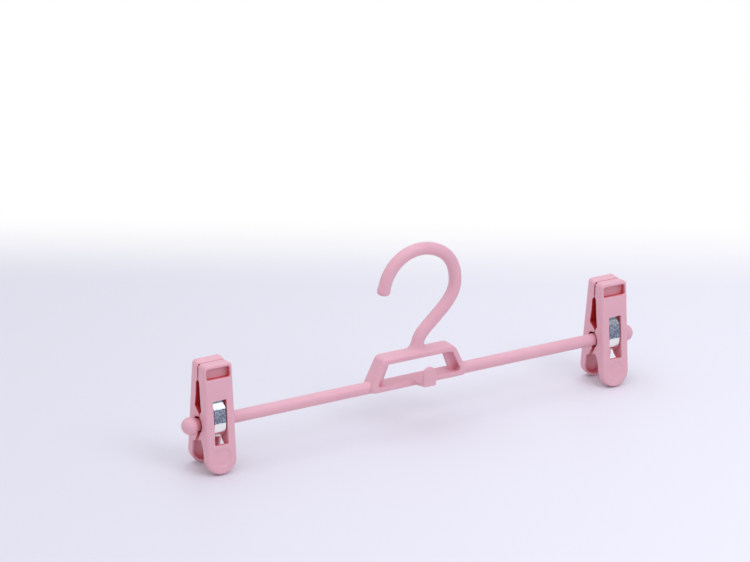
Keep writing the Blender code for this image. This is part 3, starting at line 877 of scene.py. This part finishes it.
def drawJaw():
    half = jaw["width"] / 2
    topHalf = jaw["topWidth"] / 2
    top = alongFace(jaw["length"])
    foot = arcPoints((0, half), half, 180, 360, 56)
    corners = [(topHalf, top), (-topHalf, top), foot[0], foot[-1]]
    outline = roundCorners(corners, [jaw["cornerRound"], jaw["cornerRound"], 0, 0], 8)
    outline = outline[:-2] + foot
    body = leanSheet("jawBlank", outline, 0, jaw["tipDepth"] * 1.5, jaw["edgeRound"], 8)
    carve(body, uprightSheet("mouthLeft", mouthOutline(False), -half - 2, 0.01))
    carve(body, uprightSheet("mouthRight", mouthOutline(True), 0, half + 2))

    caveTop = jaw["length"] - jaw["gripHeight"] - 2.4
    caveHalf = topHalf - jaw["sideWall"]
    cave = roundCorners(boxOutline(caveHalf, alongFace(jaw["bridgeHigh"]), alongFace(caveTop)), 1.2)
    carve(body, leanSheet("cave", cave, jaw["plate"], jaw["tipDepth"] * 2))
    channel = boxOutline(jaw["windowHalf"] + 0.05, alongFace(jaw["channelLow"]), alongFace(caveTop) - 1)
    carve(body, leanSheet("channel", roundCorners(channel, 0.9, 3), jaw["plate"] + 0.1, jaw["tipDepth"] * 2))

    pocketHalf = half - jaw["sideWall"]
    pocketFoot = arcPoints((0, half), pocketHalf, 180, 360, 40)
    pocketTop = alongFace(jaw["pocketHigh"])
    corners = [(pocketHalf, pocketTop), (-pocketHalf, pocketTop), pocketFoot[0], pocketFoot[-1]]
    pocket = roundCorners(corners, [1.2, 1.2, 0, 0])[:-2] + pocketFoot
    carve(body, leanSheet("pocket", pocket, jaw["handleWall"], jaw["tipDepth"] * 2))

    window = boxOutline(jaw["windowHalf"], alongFace(jaw["windowLow"]), alongFace(jaw["windowHigh"]))
    carve(body, leanSheet("window", roundCorners(window, jaw["windowRound"]), -4, jaw["plate"] + 1.3))
    steps = (("recess", 0.0, jaw["recessDepth"]), ("recessLip", jaw["recessLip"], jaw["recessLipDepth"]))
    for name, grow, deep in steps:
        low = alongFace(jaw["recessLow"]) - grow
        shape = boxOutline(jaw["recessHalf"] + grow, low, alongFace(jaw["recessHigh"]) + grow)
        carve(body, leanSheet(name, roundCorners(shape, jaw["recessRound"] + grow), -4, deep))
    return body


def pressDish(mesh):
    # A shallow round hollow for the thumb near the tip of the handle
    back = leanPlace.inverted()
    for vertex in mesh.vertices:
        local = back @ vertex.co
        if local.y < 0.35:
            away = math.hypot(local.x, local.z - jaw["dishMiddle"]) / jaw["dishRadius"]
            if away < 1:
                local.y += jaw["dishDepth"] * (1 - away ** jaw["dishPower"])
                vertex.co = leanPlace @ local
    mesh.update()


def buildJaws():
    body = drawJaw()
    print("jaw carved:", len(body.data.polygons), "faces")
    moulded(body, jawMould)
    pressDish(body.data)
    mesh = finishMesh(thinned(body, jawMould))
    for side, name in ((-1, "left"), (1, "right")):
        for turn, which in ((0, "Front"), (180, "Rear")):
            piece = placePiece(name + which + "Jaw", mesh, pinkJaw, (side * clipX, barY, 0), turn)
            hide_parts(f"{name}_{which.lower()}_jaw")
            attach(piece, f"{name}_{which.lower()}")
    print("jaws built:", len(mesh.polygons), "faces each")


spring = {
    "width": 7.7,
    "thickness": 0.8,
    "loop": (9.7, 8.35),
    "loopEnd": -8.0,
    "corners": ((9.85, 31.1), (9.1, 39.3), (6.6, 42.9), (6.85, 46.0)),
    "rounds": (1.2, 0.8, 1.0, 0),
    "edge": 0.2,
    "step": 0.5,
    "blendReach": 4.0,  # not used by this script
}


def springPath():
    # Half of the strip in side view: round under the bar, up the flat, in over the bend and out again
    wide, high = spring["loop"]
    half = [(x * wide, barLevel + y * high) for x, y in arcPoints((0, 0), 1, -90, spring["loopEnd"], 28)]
    return half + roundCorners([half[-1], *spring["corners"]], [0, *spring["rounds"]], 8, closed=False)[1:]


def buildSprings():
    # A bent strip, lofted along its path, with its own UVs so that the crystal pattern follows the bends
    half = springPath()
    path = [Vector((-y, z)) for y, z in reversed(half)] + [Vector(point) for point in half[1:]]
    fine = [path[0]]
    for point in path[1:]:
        steps = max(1, round((point - fine[-1]).length / spring["step"]))
        last = fine[-1].copy()
        fine += [last.lerp(point, step / steps) for step in range(1, steps + 1)]
    reach = [0.0]
    for before, point in zip(fine, fine[1:]):
        reach.append(reach[-1] + (point - before).length)
    wide = spring["width"] / 2
    thick = spring["thickness"] / 2
    edge = spring["edge"]
    section = [
        (-wide + edge, -thick), (-wide / 3, -thick), (wide / 3, -thick), (wide - edge, -thick),
        (wide, -thick + edge), (wide, thick - edge),
        (wide - edge, thick), (wide / 3, thick), (-wide / 3, thick), (-wide + edge, thick),
        (-wide, thick - edge), (-wide, -thick + edge),
    ]
    body = bmesh.new()
    uvLayer = body.loops.layers.uv.new("strip")
    rings = []
    for index, place in enumerate(fine):
        along = (fine[min(index + 1, len(fine) - 1)] - fine[max(index - 1, 0)]).normalized()
        across = Vector((along.y, -along.x))
        ring = []
        for x, out in section:
            flat = place + across * out
            ring.append(body.verts.new((x, flat.x, flat.y)))
        rings.append(ring)
    middle = reach[-1] / 2
    flatStart, flatEnd, crease = (
        reach[min(range(len(fine)), key=lambda index: (fine[index] - Vector(corner)).length)] - middle
        for corner in spring["corners"][:3]
    )
    for index in range(len(rings) - 1):
        for corner in range(len(section)):
            other = (corner + 1) % len(section)
            spots = ((index, corner), (index, other), (index + 1, other), (index + 1, corner))
            face = body.faces.new([rings[row][column] for row, column in spots])
            for loop, (row, column) in zip(face.loops, spots):
                loop[uvLayer].uv = (reach[row], section[column][0])
    body.faces.new(rings[0])
    body.faces.new(rings[-1])
    base = finishMesh(bodyObject("springStrip", body))
    zincSteel = buildSpringSteel(flatStart, flatEnd, crease, middle)
    for side, name in ((-1, "left"), (1, "right")):
        copied = base.copy()
        copied.set_sharp_from_angle(angle=math.radians(40))
        piece = placePiece(name + "Spring", copied, zincSteel, (side * clipX, barY, 0))
        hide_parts(name + "_spring")
        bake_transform(piece)
    print("springs built:", len(base.polygons), "faces each")


buildHanger()
buildBalls()
buildJaws()
buildSprings()


# Floor, light and camera

stage = {
    # Painted light on the floor: the camera sees it darker to the left and lighter to the right
    "shadedLeftColour": (0.745, 0.752, 0.865),
    "litRightColour": (0.850, 0.856, 0.975),
    "acrossHeading": (0.8622, -0.5066, 0.0),
    "acrossReach": 0.32,
    "bounceColour": (0.780, 0.770, 0.800),
    "farColour": (1.0, 1.0, 1.0),
    "farHeading": (0.5066, 0.8622, 0.0),
    "whiteStart": 0.22,
    "whiteEnd": 0.36,
    "roughness": 0.5,
    "shine": 0.25,
    "size": 6.0,
}


def reachAlong(tree, place, heading):
    node = addNode(tree, "ShaderNodeVectorMath", {"operation": "DOT_PRODUCT"})
    node.inputs[1].default_value = heading
    tree.links.new(place, node.inputs[0])
    return node.outputs["Value"]


def buildFloor():
    material, tree, shader = newMaterial("paleTable")
    shader.inputs["Roughness"].default_value = stage["roughness"]
    shader.inputs["Specular IOR Level"].default_value = stage["shine"]
    place = addNode(tree, "ShaderNodeNewGeometry").outputs["Position"]
    behind = reachAlong(tree, place, stage["farHeading"])
    away = rangeOf(tree, behind, stage["whiteStart"], stage["whiteEnd"])
    # Painted light: seen by the camera, the floor runs from darker on the left to lighter on the right
    across = reachAlong(tree, place, stage["acrossHeading"])
    slope = rangeOf(tree, across, -stage["acrossReach"], stage["acrossReach"])
    tone = mixColours(tree, slope, stage["shadedLeftColour"], stage["litRightColour"])
    path = addNode(tree, "ShaderNodeLightPath")
    seenTone = mixColours(tree, path.outputs["Is Camera Ray"], stage["bounceColour"], tone)
    tree.links.new(seenTone, shader.inputs["Base Color"])
    seen = mixNumbers(tree, "MULTIPLY", away, path.outputs["Is Camera Ray"])
    white = addNode(tree, "ShaderNodeEmission")
    white.inputs["Color"].default_value = (*stage["farColour"], 1)
    blend = addNode(tree, "ShaderNodeMixShader")
    tree.links.new(seen, blend.inputs["Fac"])
    tree.links.new(shader.outputs["BSDF"], blend.inputs[1])
    tree.links.new(white.outputs["Emission"], blend.inputs[2])
    tree.links.new(blend.outputs["Shader"], tree.nodes["Material Output"].inputs["Surface"])
    floorMesh = bmesh.new()
    bmesh.ops.create_grid(floorMesh, x_segments=8, y_segments=8, size=stage["size"] / 2)
    mesh = bpy.data.meshes.new("table")
    floorMesh.to_mesh(mesh)
    floorMesh.free()
    mesh.materials.append(material)
    table = bpy.data.objects.new("table", mesh)
    bpy.context.scene.collection.objects.link(table)


lamps = {
    "roofLight": {"place": (-0.2, 0.1, 1.6), "aim": (0, 0, 0), "size": (1.8, 1.2), "power": 6.4},
    "frontLight": {"place": (-1.2, -1.5, 1.3), "aim": (0, 0, 0.05), "size": (1.2, 1.2), "power": 1.0},
    "rightLight": {"place": (0.35, -1.05, 1.25), "aim": (0, 0, 0.05), "size": (0.7, 0.9), "power": 5.5},
}
sky = {
    "strength": 0.68,
    "low": (0.66, 0.66, 0.70),
    "left": (0.72, 0.52, 0.54),
    "high": (1.10, 1.09, 1.08),
    "behind": (1.05, 1.05, 1.08),
    "highStart": (0.0, 0.85),  # from where to where each tint takes over
    "leftStart": (0.1, -0.8),
    "behindStart": (-0.3, 0.6),
}


def buildLights():
    for name, lamp in lamps.items():
        light = bpy.data.lights.new(name, "AREA")
        light.shape = "RECTANGLE"
        light.size, light.size_y = lamp["size"]
        light.energy = lamp["power"]
        holder = bpy.data.objects.new(name, light)
        holder.location = lamp["place"]
        look = Vector(lamp["aim"]) - Vector(lamp["place"])
        holder.rotation_euler = look.to_track_quat("-Z", "Y").to_euler()
        bpy.context.scene.collection.objects.link(holder)
    world = bpy.data.worlds.new("studio")
    bpy.context.scene.world = world
    world.use_nodes = True
    tree = world.node_tree
    glow = tree.nodes["Background"]
    glow.inputs["Strength"].default_value = sky["strength"]
    split = splitVector(tree, addNode(tree, "ShaderNodeTexCoord").outputs["Generated"])
    left = rangeOf(tree, split["X"], *sky["leftStart"])
    near = mixColours(tree, left, sky["low"], sky["left"])
    behind = rangeOf(tree, split["Y"], *sky["behindStart"])
    low = mixColours(tree, behind, near, sky["behind"])
    height = rangeOf(tree, split["Z"], *sky["highStart"])
    tree.links.new(mixColours(tree, height, low, sky["high"]), glow.inputs["Color"])
    clear = addNode(tree, "ShaderNodeBackground")
    clear.inputs["Color"].default_value = (1, 1, 1, 1)
    clear.inputs["Strength"].default_value = 1.0
    path = addNode(tree, "ShaderNodeLightPath")
    blend = addNode(tree, "ShaderNodeMixShader")
    tree.links.new(path.outputs["Is Camera Ray"], blend.inputs["Fac"])
    tree.links.new(glow.outputs["Background"], blend.inputs[1])
    tree.links.new(clear.outputs["Background"], blend.inputs[2])
    tree.links.new(blend.outputs["Shader"], tree.nodes["World Output"].inputs["Surface"])


view = {
    "lens": 162.25,
    "place": (-0.96529, -1.57452, 0.79802),
    "turn": (69.0243, -0.7450, -30.4394),
}


def buildCamera():
    camera = bpy.data.cameras.new("camera")
    camera.lens = view["lens"]
    camera.sensor_width = 36.0
    camera.clip_start = 0.05
    camera.clip_end = 50.0
    holder = bpy.data.objects.new("camera", camera)
    holder.location = view["place"]
    holder.rotation_euler = [math.radians(angle) for angle in view["turn"]]
    bpy.context.scene.collection.objects.link(holder)
    bpy.context.scene.camera = holder


buildFloor()
buildLights()
buildCamera()
bpy.context.scene.view_settings.view_transform = "Standard"
print("stage built")
